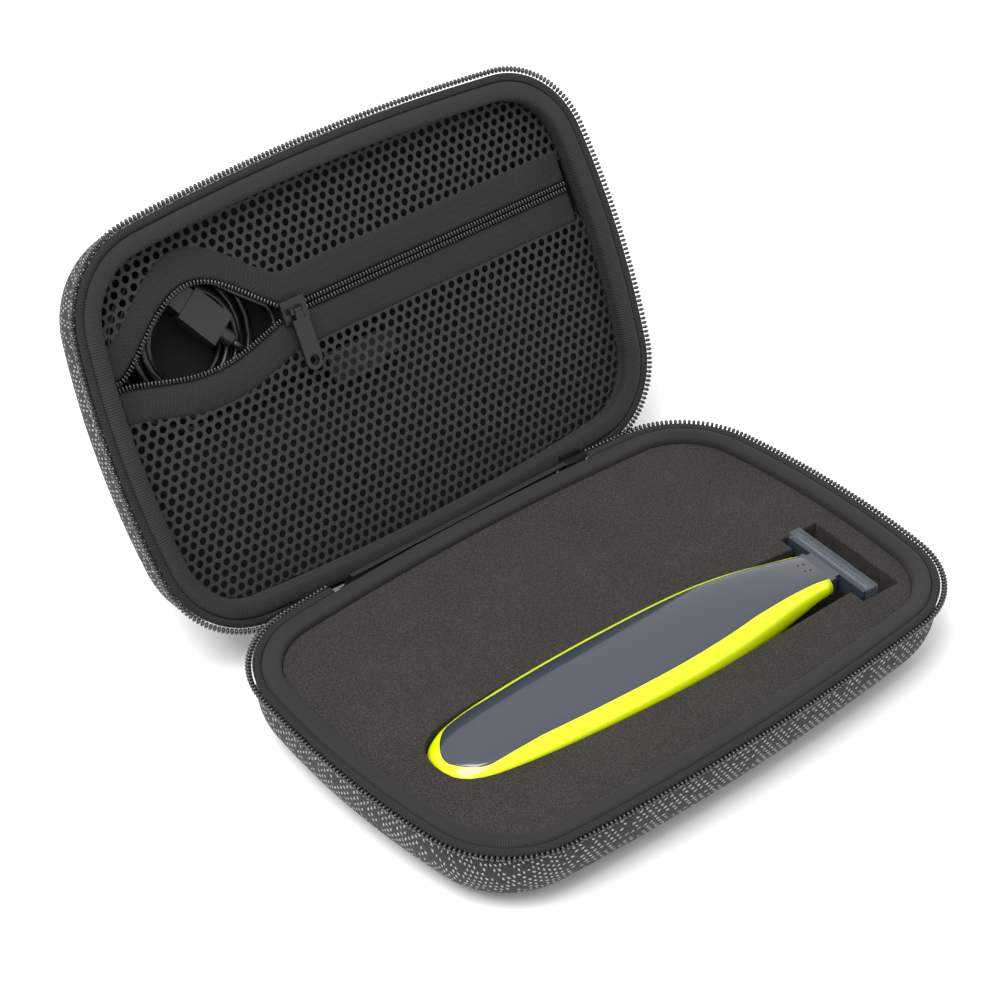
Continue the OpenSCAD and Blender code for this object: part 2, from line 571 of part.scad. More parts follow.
// Tube with a fixed number of sides along route points; its side vector stays near the lid's plane.
function unit(v) = v / norm(v);
lead_sides = 6;
function route_ring(p, dir) = let(side = unit(cross(dir, [0, 0, 1])), up = cross(side, dir))
    [for (i = [0 : lead_sides - 1]) p + lead_dia / 2 * (cos(60 * i) * side + sin(60 * i) * up)];
module tube(route) {
    n = len(route);
    pts = [for (i = [0 : n - 1]) each route_ring(route[i],
        unit(route[min(i + 1, n - 1)] - route[max(i - 1, 0)]))];
    ends = [[for (j = [0 : lead_sides - 1]) lead_sides - 1 - j],
        [for (j = [0 : lead_sides - 1]) (n - 1) * lead_sides + j]];
    polyhedron(pts, concat(side_faces(n - 1, lead_sides, true), ends));
}
// Least gap between the lead's turns, from points at least half a turn apart.
lead_gap = min([for (i = [0 : 2 : len(lead_route) - 1]) for (j = [i + 12 : 1 : len(lead_route) - 1])
    norm(lead_route[i] - lead_route[j])]) - lead_dia;
echo(lead_gap = lead_gap);
lead_length = [for (i = [1 : len(lead_route) - 1]) norm(lead_route[i] - lead_route[i - 1])];
function total(list, i = 0) = i >= len(list) ? 0 : list[i] + total(list, i + 1);
echo(lead_length = total(lead_length));

module lead_coil() color(coil_black) lid_half() tube(lead_route);
module on_connector() lid_half() translate([connector_back[0], connector_back[1], -connector_depth])
    rotate(atan2(connector_dir[1], connector_dir[0])) children();
contact_gap = 4.2;
module lead_connector() color([0.16, 0.17, 0.18]) on_connector() {
    translate([0.1, 0, 0]) rotate([0, 90, 0]) cylinder(d = 5, h = 5);
    translate([5, -connector_w / 2, -connector_t / 2]) cube([connector_l - 11, connector_w, connector_t]);
    translate([connector_l - 6, -4.2, -2.7]) cube([6, 8.4, 5.4]);
}
module lead_contacts() color("silver") on_connector() for (side = [-1, 1])
    translate([connector_l, side * contact_gap / 2, 0]) rotate([0, 90, 0]) cylinder(d = 2.4, h = 0.8);
module lead_plug() color([0.12, 0.12, 0.12]) lid_half()
    translate([plug_x + 0.1, lead_c[1] + outer_r, -lead_low + 1.8]) {
        translate([0, -5.5, -3]) cube([20, 11, 6]);
        translate([20, -4, -1.3]) cube([7, 8, 2.6]);
    }

base_cover();
base_shell();
base_lining();
base_binding();
base_zip_tape();
base_zip_coil();
foam_floor_pad();
foam_insert();
spine_strip();
main_slider();
main_pull();
lid_cover();
lid_shell();
lid_lining();
lid_binding();
lid_zip_tape();
lid_zip_coil();
mesh_edge();
mesh_upper();
mesh_lower();
pocket_tape_upper();
pocket_tape_lower();
pocket_coil_upper();
pocket_coil_lower();
pocket_slider();
pocket_pull();
lead_coil();
lead_connector();
lead_contacts();
lead_plug();
trimmer_front_shell();
trimmer_back_shell();
trimmer_button();
trimmer_battery();
trimmer_motor();
trimmer_board();
trimmer_neck();
trimmer_socket();
blade_frame();
blade_cutter();
blade_guard();
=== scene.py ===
import json
import math

import bmesh
import bpy
from mathutils import Matrix, Vector, noise
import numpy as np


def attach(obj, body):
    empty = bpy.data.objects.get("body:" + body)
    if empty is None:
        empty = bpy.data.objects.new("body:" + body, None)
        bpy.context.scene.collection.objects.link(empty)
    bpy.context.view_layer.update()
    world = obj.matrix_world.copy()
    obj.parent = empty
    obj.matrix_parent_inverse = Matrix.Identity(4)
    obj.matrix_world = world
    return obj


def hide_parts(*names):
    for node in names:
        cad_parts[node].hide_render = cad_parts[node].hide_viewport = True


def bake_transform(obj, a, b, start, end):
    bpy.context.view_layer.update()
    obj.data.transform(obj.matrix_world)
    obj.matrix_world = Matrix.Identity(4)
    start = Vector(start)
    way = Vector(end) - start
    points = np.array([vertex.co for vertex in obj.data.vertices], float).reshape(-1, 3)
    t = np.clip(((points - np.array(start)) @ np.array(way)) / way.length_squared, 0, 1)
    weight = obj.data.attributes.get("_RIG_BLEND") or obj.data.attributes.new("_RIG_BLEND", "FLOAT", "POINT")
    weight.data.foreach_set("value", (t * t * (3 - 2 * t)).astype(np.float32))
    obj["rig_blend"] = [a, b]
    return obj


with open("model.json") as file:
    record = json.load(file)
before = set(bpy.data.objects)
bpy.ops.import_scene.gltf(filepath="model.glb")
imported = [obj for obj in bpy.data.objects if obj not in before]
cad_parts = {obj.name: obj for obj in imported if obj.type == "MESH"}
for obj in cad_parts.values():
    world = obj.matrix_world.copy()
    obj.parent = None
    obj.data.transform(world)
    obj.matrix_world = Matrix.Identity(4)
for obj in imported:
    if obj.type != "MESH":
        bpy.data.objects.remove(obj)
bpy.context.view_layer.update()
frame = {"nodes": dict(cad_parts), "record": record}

# Camera. It stands at the front left of the open case and looks down into it,
# where a perspective fit of both zip chains puts it.
cam = bpy.data.objects.new("camera", bpy.data.cameras.new("camera"))
bpy.context.collection.objects.link(cam)
cam.location = (-0.42679, -0.44275, 0.53463)
cam.rotation_euler = (math.radians(52.89), 0, math.radians(-41.09))
cam.data.lens, cam.data.sensor_width = 96.06, 36
cam.data.clip_start = 0.01
bpy.context.scene.camera = cam


# Materials. One for each finish, painted by nodes from the cloth coordinates
# and from the place on the object, both in mm.
class Sock:
    """A socket in a material: sums and products become Math nodes, add() makes any other node."""

    def __init__(self, tree, out):
        self.tree, self.out = tree, out

    def put(self, socket, value):
        if isinstance(value, Sock):
            self.tree.links.new(value.out, socket)
        else:
            socket.default_value = value

    def add(self, kind, ins, out=0, **props):
        n = self.tree.nodes.new("ShaderNode" + kind)
        for key, value in props.items():
            setattr(n, key, value)
        for key, value in ins.items():
            self.put(n.inputs[key], value)
        return Sock(self.tree, n.outputs[out])

    def math(self, op, *others):
        return self.add("Math", dict(enumerate((self, *others))), operation=op)

    def __add__(self, o):
        return self.math("ADD", o)

    def __sub__(self, o):
        return self.math("SUBTRACT", o)

    def __mul__(self, o):
        return self.math("MULTIPLY", o)

    def in_mm(self):
        return self.add("VectorMath", {0: self, 1: (1000,) * 3}, operation="MULTIPLY")

    def noise(self, scale, **more):
        return self.add("TexNoise", {"Vector": self, "Scale": scale, **more})

    def cells(self, scale):
        return self.add("TexVoronoi", {"Vector": self, "Scale": scale})

    def mix(self, a, b):
        """Colour a where the socket is 0 and b where it is 1."""
        return self.add("Mix", {0: self, 6: a, 7: b}, out=2, data_type="RGBA")

    def bump(self, strength, distance):
        return self.add("Bump", {"Height": self, "Strength": strength, "Distance": distance})

    def step(self, low, high):
        return self.add("MapRange", {0: self, 1: low, 2: high}, interpolation_type="SMOOTHSTEP")


def grey(v, warm=0.0):
    return (v * (1 + warm), v, v * (1 - warm), 1)


def material(name, base, rough, paint=None, consts=None):
    """A Principled material; paint gets (u, v, place) sockets in mm and returns the inputs that vary."""
    m = bpy.data.materials.new(name)
    m.use_nodes = True
    tree = m.node_tree
    p = tree.nodes["Principled BSDF"]
    for key, value in {"Base Color": base, "Roughness": rough, **(consts or {})}.items():
        p.inputs[key].default_value = value
    if paint:
        co = tree.nodes.new("ShaderNodeTexCoord")
        uv, place = (Sock(tree, co.outputs[k]).in_mm() for k in ("UV", "Object"))
        u, v = (uv.add("SeparateXYZ", {0: uv}, i) for i in (0, 1))
        for key, value in paint(u, v, place).items():
            value.put(p.inputs[key], value)
    return m


def fleck_paint(u, v, place):
    """Woven cover: white flecks in rows, slanted one way and then the other."""
    row_gap, fleck_gap = 1.55, 2.3
    row = v * (1 / row_gap)
    odd = row.math("FLOOR").math("PINGPONG", 1)
    across = row.math("FRACT") - 0.5
    side = odd * 2 - 1
    col = u * (1 / fleck_gap) + across * side * 0.45 + odd * 0.5
    along = col.math("FRACT") - 0.5
    cell = u.add("CombineXYZ", {0: col.math("FLOOR"), 1: row.math("FLOOR")})
    chance = u.add("TexWhiteNoise", {"Vector": cell}, noise_dimensions="2D")
    length = chance * 0.1 + 0.15
    ends = (length - along.math("ABSOLUTE")).step(-0.04, 0.06)
    fleck = ends * (across.math("ABSOLUTE") * -1 + 0.22).step(-0.06, 0.08)
    thread = (u * 7.5).math("SINE") * (v * 9).math("SINE")
    shade = place.noise(0.9)
    body = shade.mix(grey(0.005), grey(0.014))
    seen = fleck * (chance.math("GREATER_THAN", 0.22)) * (shade * 0.9 + 0.35)
    return {"Base Color": seen.mix(body, grey(0.42)), "Normal": (fleck * 0.6 + thread * 0.4).bump(0.5, 0.0004)}


def rib_paint(u, v, place):
    """Grosgrain binding: ribs across its length."""
    rib_gap = 0.85
    rib = (u * (2 * math.pi / rib_gap)).math("SINE")
    soft = place.noise(1.7, Detail=4)
    return {"Base Color": (rib * 0.35 + soft * 0.6).mix(grey(0.003), grey(0.0135)),
            "Normal": (rib + soft * 1.2).bump(0.55, 0.00025)}


def weave_paint(u, v, place):
    """Woven tape: a fine herringbone."""
    lean = ((v * 0.8).math("PINGPONG", 1) * 5 + u * 6).math("SINE")
    soft = place.noise(2.2, Detail=3)
    return {"Base Color": (lean * 0.3 + soft * 0.7).mix(grey(0.0025), grey(0.009)),
            "Normal": (lean + soft).bump(0.5, 0.0002)}


def lining_paint(u, v, place):
    soft = place.noise(3.5, Detail=5)
    return {"Base Color": soft.mix(grey(0.0015), grey(0.005)), "Normal": soft.bump(0.4, 0.0003)}


def knit_paint(u, v, place):
    soft, strand = place.noise(5, Detail=3), place.cells(2.4)
    return {"Base Color": (soft * 0.6 + strand * 0.4).mix(grey(0.004, -0.04), grey(0.016, -0.04)),
            "Normal": (soft + strand).bump(0.5, 0.0003)}


def foam_paint(u, v, place):
    """Open-cell foam: painted shade in its small pores, and lighter specks in warm grey."""
    pore, speck, cloud = place.cells(1.9), place.noise(1.5, Detail=6, Roughness=0.85), place.noise(0.05)
    # Colour mix: the darkening at the pores is painted shade; the specks and the cloud are tone that varies at random.
    tone_and_pore_shade = (speck * 0.9 + pore * 0.5 + cloud * 0.15).step(0.5, 1.0)
    return {"Base Color": tone_and_pore_shade.mix((0.003, 0.0026, 0.0022, 1), (0.034, 0.029, 0.025, 1)),
            "Normal": (pore * 0.6 + speck).bump(0.7, 0.0005)}


def coil_paint(u, v, place):
    return {"Roughness": place.noise(1.2).step(0.2, 0.8) * 0.15 + 0.2}


def metal_paint(u, v, place):
    worn = place.noise(1.6, Detail=5)
    return {"Base Color": worn.mix(grey(0.006), grey(0.022)), "Roughness": worn * 0.3 + 0.22}


def smooth_paint(u, v, place):
    fine = place.noise(4, Detail=4)
    return {"Roughness": fine * 0.12 + 0.3, "Normal": fine.bump(0.08, 0.0001)}


def shell_paint(u, v, place):
    return {"Roughness": place.noise(0.12) * 0.2 + 0.14}


LOOKS = {}
for slot, base, rough, paint, consts in (
        ("flecked_cloth", grey(0.03), 0.85, fleck_paint, {"Sheen Weight": 0.04}),
        ("eva_foam", grey(0.02), 0.9, lining_paint, {}),
        ("lining_cloth", grey(0.01), 0.95, lining_paint, {}),
        ("ribbed_binding", grey(0.03), 0.8, rib_paint, {"Sheen Weight": 0.03}),
        ("zip_tape", grey(0.02), 0.85, weave_paint, {"Sheen Weight": 0.02}),
        ("mesh_cloth", grey(0.03), 0.72, knit_paint, {"Sheen Weight": 0.03}),
        ("insert_foam", (0.05, 0.043, 0.038, 1), 0.97, foam_paint, {}),
        ("zip_coil", grey(0.004), 0.25, coil_paint, {"Coat Weight": 0.5, "Coat Roughness": 0.15}),
        ("zip_metal", grey(0.02), 0.3, metal_paint, {"Metallic": 0.5, "Coat Weight": 0.4}),
        ("lead_sheath", grey(0.005), 0.3, smooth_paint, {"Coat Weight": 0.25}),
        ("connector_plastic", grey(0.012), 0.4, smooth_paint, {}),
        ("contact_metal", grey(0.75), 0.18, coil_paint, {"Metallic": 1.0}),
        ("lime_plastic", (0.66, 0.79, 0.0, 1), 0.25, shell_paint, {"Coat Weight": 0.5, "Coat Roughness": 0.08}),
        ("slate_plastic", (0.028, 0.036, 0.05, 1), 0.22, shell_paint, {"Coat Weight": 0.7, "Coat Roughness": 0.06}),
        ("cell_sleeve", (0.08, 0.28, 0.14, 1), 0.4, smooth_paint, {}),
        ("motor_steel", grey(0.5), 0.3, coil_paint, {"Metallic": 1.0}),
        ("board_green", (0.03, 0.2, 0.07, 1), 0.45, smooth_paint, {}),
        ("blade_steel", grey(0.55), 0.25, coil_paint, {"Metallic": 1.0}),
        ("guard_clear", (0.12, 0.14, 0.17, 1), 0.12, coil_paint, {"Alpha": 0.3, "Coat Weight": 0.6})):
    LOOKS[slot] = material(slot, base, rough, paint, consts)

# Outline of the case. Eight tangent arcs in plan, each (centre, radius, from, to, steps), in mm and
# degrees. Each half is made in its own frame, with its flat opening at height zero and its depth below.
HALF_L, HALF_D, RIM = 101, 67.5, 27
HINGE_Y, HINGE_Z, OPEN = 64.8, 19.7, 117.4
LONG_R, SHORT_R, CORNER_R = 820, 280, 31.2
CX, CY = 67.54758560234325, 33.40251537916207
LONG_Y, SHORT_X = HALF_D - LONG_R, HALF_L - SHORT_R
SHORT_END, LONG_END = math.degrees(math.atan2(CY, CX - SHORT_X)), 85.08755411636913
ZIP_END = LONG_END + (90 - LONG_END) / 4


def rim_arcs(gap=False):
    """All arcs from the middle of the back, round by the left; with gap, the run stops short of the hinge."""
    back = ZIP_END if gap else 90
    long_b, long_f = ((0, LONG_Y), LONG_R), ((0, -LONG_Y), LONG_R)
    return [(*long_b, 180 - back, 180 - LONG_END, 12),
            ((-CX, CY), CORNER_R, 180 - LONG_END, 180 - SHORT_END, 20),
            ((-SHORT_X, 0), SHORT_R, 180 - SHORT_END, 180 + SHORT_END, 12),
            ((-CX, -CY), CORNER_R, 180 + SHORT_END, 180 + LONG_END, 20),
            (*long_f, 180 + LONG_END, 360 - LONG_END, 24),
            ((CX, -CY), CORNER_R, 360 - LONG_END, 360 - SHORT_END, 20),
            ((SHORT_X, 0), SHORT_R, -SHORT_END, SHORT_END, 12),
            ((CX, CY), CORNER_R, SHORT_END, LONG_END, 20),
            (*long_b, LONG_END, back, 12)]


def place_on_rim(x, y):
    """(distance along the quarter, arc centre, arc radius, outward direction) of a point's first-quarter image."""
    x, y = abs(x), abs(y)
    a = math.atan2(y, x - SHORT_X)
    s1, s2 = math.radians(SHORT_END), math.radians(LONG_END)
    if a <= s1:
        return SHORT_R * a, (SHORT_X, 0), SHORT_R, a
    b = math.atan2(y - CY, x - CX)
    if b <= s2 and x > CX * 0.9:
        return SHORT_R * s1 + CORNER_R * (b - s1), (CX, CY), CORNER_R, b
    c = math.atan2(y - LONG_Y, x)
    return SHORT_R * s1 + CORNER_R * (s2 - s1) + LONG_R * (c - s2), (0, LONG_Y), LONG_R, c


def new_mesh():
    bm = bmesh.new()
    bm.verts.layers.float.new("run")
    bm.loops.layers.uv.new("UVMap")
    return bm


def sweep(bm, profile, arcs, closed):
    """Spins a profile of (inset, height) points along the arcs."""
    run = bm.verts.layers.float["run"]
    (cx, cy), r, a0 = arcs[0][0], arcs[0][1], math.radians(arcs[0][2])
    vs, length = [], 0
    for i, (d, z) in enumerate(profile):
        length += math.dist(profile[i - 1], (d, z)) if i else 0
        v = bm.verts.new((cx + (r - d) * math.cos(a0), cy + (r - d) * math.sin(a0), z))
        v[run] = length
        vs.append(v)
    geom = vs + [bm.edges.new(pair) for pair in zip(vs, vs[1:] + (vs[:1] if closed else []))]
    for centre, r, a, b, n in arcs:
        geom = bmesh.ops.spin(bm, geom=geom, cent=(*centre, 0), axis=(0, 0, 1), angle=math.radians(b - a),
                              steps=n)["geom_last"]
    bmesh.ops.remove_doubles(bm, verts=bm.verts, dist=0.02)
    close_holes(bm)


def close_holes(bm):
    bmesh.ops.holes_fill(bm, edges=[e for e in bm.edges if e.is_boundary], sides=0)


def lay_uv(bm, flat_inset=None):
    """Cloth coordinates in metres: along the rim and across the profile, or unfolded from the flat face."""
    run, uv = bm.verts.layers.float["run"], bm.loops.layers.uv.active
    for f in bm.faces:
        for loop in f.loops:
            p = loop.vert.co
            s, centre, r, a = place_on_rim(p[0], p[1])
            if flat_inset is None:
                loop[uv].uv = (s / 1000, loop.vert[run] / 1000)
                continue
            reach = r - flat_inset + abs(loop.vert[run])
            x, y = centre[0] + reach * math.cos(a), centre[1] + reach * math.sin(a)
            loop[uv].uv = (math.copysign(x, p.x) / 1000, math.copysign(y, p.y) / 1000)


MM = Matrix.Scale(0.001, 4)
BASE = MM @ Matrix.Translation((0, 0, RIM))
LID = (MM @ Matrix.Translation((0, HINGE_Y, HINGE_Z)) @ Matrix.Rotation(math.radians(-OPEN), 4, "X")
       @ Matrix.Translation((0, -HINGE_Y, -HINGE_Z)) @ Matrix.Translation((0, 0, RIM))
       @ Matrix.Scale(-1, 4, (0, 0, 1)))
HALVES = {"base": BASE, "lid": LID}


def piece(bm, name, matrix, body, slot, nodes=(), recalc=True):
    """Places the mesh in the row frame and makes it a piece on a body."""
    bmesh.ops.transform(bm, matrix=matrix, verts=bm.verts)
    if recalc:
        bmesh.ops.recalc_face_normals(bm, faces=bm.faces)
    me = bpy.data.meshes.new(name)
    bm.to_mesh(me)
    bm.free()
    me.shade_smooth()
    ob = bpy.data.objects.new(name, me)
    bpy.context.collection.objects.link(ob)
    me.materials.append(LOOKS[slot])
    if body:
        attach(ob, body)
    if nodes:
        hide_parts(*nodes)
    return ob


def swept(profile, gap, name, matrix, body, slot, node):
    """A closed profile run round the rim."""
    bm = new_mesh()
    sweep(bm, profile, rim_arcs(gap), True)
    lay_uv(bm)
    piece(bm, name, matrix, body, slot, [node])


def modifier(ob, kind, **props):
    m = ob.modifiers.new(kind.title(), kind)
    for key, value in props.items():
        setattr(m, key, value)


# Walls of both halves. Two closed bowls each, the woven cover outside and the foam with its
# lining inside, with a large radius under the wall.
EDGE_R, WALL_IN, DROP, KNEE = 18, 1.6, 4.1, -6.5
COVER_T, LINER_FROM, LINER_TO = 0.7, 1, 4.5


def wall_curve(t, n):
    """The rounded edge between wall and flat face, t inward from the outer surface."""
    c, z, r = WALL_IN + EDGE_R, EDGE_R - RIM, EDGE_R - t
    turns = [math.radians(90 * i / n) for i in range(n + 1)]
    return [(c - r * math.cos(a), z - r * math.sin(a)) for a in turns]


def wall(t, n):
    return [(WALL_IN + t, -DROP), (WALL_IN + t, KNEE)] + wall_curve(t, n)


for side, matrix in HALVES.items():
    bm = new_mesh()
    sweep(bm, wall(0, 14)[::-1] + wall(COVER_T, 14), rim_arcs(), False)
    lay_uv(bm, wall(0, 14)[-1][0])
    piece(bm, side + "_cloth", matrix, side, "flecked_cloth", [side + "_cover"])
    bm = new_mesh()
    outer_face = wall_curve(LINER_FROM, 8)[::-1] + [(WALL_IN + LINER_FROM, -DROP)]
    sweep(bm, outer_face + wall(LINER_TO, 12), rim_arcs(), False)
    lay_uv(bm)
    piece(bm, side + "_liner", matrix, side, "lining_cloth", [side + "_shell", side + "_lining"])

# Bindings and tapes. The ribbed binding is a soft band along each rim,
# and the zip tape lies in the groove between it and the chain.
BAND = [(3.45, -3.9), (3.4, -2.1), (3.7, -1.15), (4.4, -0.6), (5.4, -0.38), (6.5, -0.35), (7.6, -0.42), (8.6, -0.72),
        (9.25, -1.35), (9.5, -2.3), (9.5, -5.5), (6.4, -5.6), (6.35, -4.0)]
GROOVE = [(0.9, -1.1), (2.2, -1.16), (3.3, -1.1), (3.3, -3.8), (2.75, -3.8), (2.7, -1.75), (1.0, -1.6)]
for side, matrix in HALVES.items():
    swept(BAND, False, side + "_band", matrix, side, "ribbed_binding", side + "_binding")
    swept(GROOVE, True, side + "_tape", matrix, side, "zip_tape", side + "_zip_tape")

# Zip teeth. Rounded coil teeth at even steps along the zipped stretch of both rims,
# which ends on either side of the hinge.
TOOTH_GAP, TOOTH_Z, TOOTH_IN = 1.5, -1.33, 0.3
TOOTH = Matrix.Diagonal((1.12, 0.62, 0.9, 1))


def rim_points(gap):
    """[(x, y, outward angle)] at even steps along the zipped stretch."""
    out, left = [], gap / 2
    for (cx, cy), r, a, b, _ in rim_arcs(True):
        length = r * math.radians(b - a)
        while left < length:
            t = math.radians(a) + left / r
            out.append((cx + r * math.cos(t), cy + r * math.sin(t), t))
            left += gap
        left -= length
    return out


for side, matrix in HALVES.items():
    bm = new_mesh()
    for x, y, t in rim_points(TOOTH_GAP):
        turn = Matrix.Translation((x, y, TOOTH_Z)) @ Matrix.Rotation(t, 4, "Z")
        local = turn @ Matrix.Translation((TOOTH_IN, 0, 0)) @ TOOTH
        bmesh.ops.create_icosphere(bm, subdivisions=1, radius=1, matrix=local)
    piece(bm, side + "_teeth", matrix, side, "zip_coil", [side + "_zip_coil"])

# Foam insert. A flat foam face below the binding with the trimmer's nest and
# a cross slot for the blade cut through it, over a thin bottom layer.
# Each station is (distance from the tail, half width, bottom, top) of the trimmer.
STATIONS = [(0, 3, 15.5, 19.5), (1.2, 6.6, 13, 22), (4.5, 10, 10.4, 24.2), (12, 12.8, 8.2, 26), (28, 14.8, 7, 27.4),
            (52, 16.2, 6.6, 28.5), (78, 16.6, 6.8, 29.4), (98, 15.8, 8.6, 30.3), (113, 14, 12.6, 30.6),
            (126, 11.6, 17, 30), (136, 9.8, 19.2, 28.6), (142.5, 9, 19.6, 27.2)]
TRIM_L = STATIONS[-1][0]
TRIM = Matrix.Translation((-77.6, -14.9, 0)) @ Matrix.Rotation(math.radians(-4.2), 4, "Z")
NEST_GAP, NECK_FROM, NECK_HALF, NECK_FLARE, BLADE_S = 0.4, 98, 13, 3.2, 147.1
SLOT_FROM, SLOT_TO, SLOT_HALF, SLOT_MOUTH = 145.9, 160.4, 18.6, 13.1
FOAM_IN, FOAM_TOP, FOAM_LOW, FOAM_SKIRT, FOAM_EDGE = 9.7, -3.0, -20.5, -2.5, 0.45


def nest_half(s, w):
    if s <= NECK_FROM:
        return w + NEST_GAP
    return NECK_HALF + NECK_FLARE * (BLADE_S - s) / (BLADE_S - NECK_FROM)


def station(s):
    """(half width, bottom, top) of the trimmer at a distance from its tail, on a smooth curve."""
    s = min(max(s, 0), TRIM_L)
    last = len(STATIONS) - 1
    i = max(k for k in range(last) if STATIONS[k][0] <= s)
    p0, p1, p2, p3 = (STATIONS[min(max(i + k, 0), last)] for k in (-1, 0, 1, 2))
    h = p2[0] - p1[0]
    t = (s - p1[0]) / h
    out = []
    for k in (1, 2, 3):
        m1 = (p2[k] - p0[k]) / (p2[0] - p0[0]) * h
        m2 = (p3[k] - p1[k]) / (p3[0] - p1[0]) * h if p3[0] > p1[0] else p2[k] - p1[k]
        out.append((2 * t**3 - 3 * t**2 + 1) * p1[k] + (t**3 - 2 * t**2 + t) * m1
                   + (3 * t**2 - 2 * t**3) * p2[k] + (t**3 - t**2) * m2)
    return out


side_line = [(s, nest_half(s, station(s)[0])) for s in [0, 0.6, 1.2, 2.4, 4.5, 8, 12] + list(range(20, 146, 6))]
slot_line = [(SLOT_FROM, SLOT_MOUTH), (SLOT_FROM, SLOT_HALF), (SLOT_TO, SLOT_HALF)]
nest = ([(-NEST_GAP, 0)] + side_line + slot_line + [(s, -w) for s, w in slot_line[::-1]]
        + [(s, -w) for s, w in side_line[::-1]])
outer = []
for (cx, cy), r, a, b, n in rim_arcs():
    for i in range(n):
        t = math.radians(a + (b - a) * i / n)
        outer.append((cx + (r - FOAM_IN) * math.cos(t), cy + (r - FOAM_IN) * math.sin(t)))
bm = new_mesh()
rings = []
for ring in (outer, [(TRIM @ Vector((s, w, 0)))[:2] for s, w in nest]):
    vs = [bm.verts.new((x, y, FOAM_TOP)) for x, y in ring]
    rings.append([bm.edges.new((vs[i - 1], vs[i])) for i in range(len(vs))])
bmesh.ops.triangle_fill(bm, edges=rings[0] + rings[1], use_beauty=True)
for edges, depth in zip(rings, (FOAM_SKIRT, FOAM_LOW - FOAM_TOP)):
    new = bmesh.ops.extrude_edge_only(bm, edges=edges)["geom"]
    bmesh.ops.translate(bm, vec=(0, 0, depth), verts=[g for g in new if isinstance(g, bmesh.types.BMVert)])
bmesh.ops.bevel(bm, geom=[e for e in rings[1] if e.is_valid], offset=FOAM_EDGE, segments=2, profile=0.5,
                affect="EDGES", material=-1, clamp_overlap=True)
bmesh.ops.recalc_face_normals(bm, faces=bm.faces)
foam = piece(bm, "foam_block", BASE, "base", "insert_foam", ["foam_insert"], recalc=False)
for poly in foam.data.polygons:
    poly.use_smooth = False
bm = new_mesh()
sweep(bm, [(24, -22.3), (20, -22.2), (20, -21.0), (24, -20.9)], rim_arcs(), False)
piece(bm, "foam_bottom", BASE, "base", "insert_foam", ["foam_floor_pad"])

# Trimmer. A lime body lofted from its sections, a slate cap set into its upper face,
# and four small dots on its neck.
POWER, SHOULDER = 0.74, 5.6
CAP_FROM, CAP_ROUND, CAP_TO = 3.1, 13, 142.3


def waist(s):
    """Height of the body's widest line, near its upper face."""
    w, lo, hi = station(s)
    return hi - min((hi - lo) / 2, SHOULDER)


def body_point(s, a, out=0.0):
    w, lo, hi = station(s)
    c, d, mid = math.cos(a), math.sin(a), waist(s)
    rise = (hi - mid if d > 0 else mid - lo) + out
    return Vector((s, (w + out) * math.copysign(abs(c) ** POWER, c), mid + rise * math.copysign(abs(d) ** POWER, d)))


def grid(bm, nx, ny, place):
    """A grid with its points and cloth coordinates, both in mm, from place(u, v)."""
    bmesh.ops.create_grid(bm, x_segments=nx, y_segments=ny, size=1)
    uv, spots = bm.loops.layers.uv.active, {}
    for v in bm.verts:
        v.co, spots[v] = place((v.co.x + 1) / 2, (v.co.y + 1) / 2)
    for f in bm.faces:
        for loop in f.loops:
            loop[uv].uv = (spots[loop.vert][0] / 1000, spots[loop.vert][1] / 1000)


def cap_point(u, v):
    s = CAP_FROM + (CAP_TO - CAP_FROM) * u**1.35
    w, lo, hi = station(s)
    ease = math.sqrt(max(0, 1 - max(0, (CAP_ROUND - s) / (CAP_ROUND - CAP_FROM)) ** 2))
    far = 2 * v - 1
    half = w - 1.4 - 2.1 * min(1, s / 30) * (1 - 0.6 * max(0, (s - 112) / 30))
    y = half * ease * far + 0.9 * ease * min(1, s / 20) * max(0, min(1, (140 - s) / 30))
    share = min(1, abs(y) / w) ** (1 / POWER)
    z = waist(s) + (hi - waist(s)) * (1 - share**2) ** (POWER / 2)
    rim = min(1, (1 - abs(far)) * 16, (s - CAP_FROM) * 2)
    return Vector((s, y, z + 0.28 * math.sqrt(max(0, rim)) - 0.12)), (0, 0)


bm = new_mesh()
grid(bm, 84, 48, lambda u, v: (body_point(TRIM_L * u**1.5, 2 * math.pi * v, -0.05), (0, 0)))
bmesh.ops.remove_doubles(bm, verts=bm.verts, dist=0.01)
close_holes(bm)
piece(bm, "trimmer_lime", MM @ TRIM, "base", "lime_plastic", ["trimmer_front_shell"])
bm = new_mesh()
grid(bm, 110, 40, cap_point)
piece(bm, "trimmer_cap", MM @ TRIM, "base", "slate_plastic", ["trimmer_back_shell"])
bm = new_mesh()
for s, y in ((137.2, -1.6), (137.2, 1.6), (139.4, -1.6), (139.4, 1.6)):
    spot = Matrix.Translation((s, y, body_point(s, math.pi / 2)[2] + 0.1))
    bmesh.ops.create_cone(bm, cap_ends=True, segments=16, radius1=0.42, radius2=0.36, depth=0.5, matrix=spot)
piece(bm, "neck_dots", MM @ TRIM, "base", "connector_plastic")

# Mesh pocket. A knit of staggered holes in two panels, the woven tapes of the
# pocket's zip with its open mouth, and a ribbed strip that holds the panels.
POCKET_Y, DEEP, SLIDER_X, MOUTH_FROM, POCKET_END = 20, 7.0, -24, -87, 89
CHAIN_HALF, MOUTH_UP, MOUTH_DOWN, MOUTH_LIFT, TAPE_W = 1.7, 19, 6, 0.8, 10.5
HOLE_R, STRAND, NET_IN, NET_UNDER = 2.02, 0.52, 8.2, 8.6
ROW, COL = HOLE_R * 1.5, HOLE_R * math.sqrt(3)
LINK_GAP = 1.2
LINK = Matrix.Diagonal((0.46, 1.2, 0.72, 1))
STRIP = [(6.2, -8.2), (6.2, -6.9), (6.7, -6.45), (7.6, -6.4), (8.5, -6.75), (8.6, -8.2)]


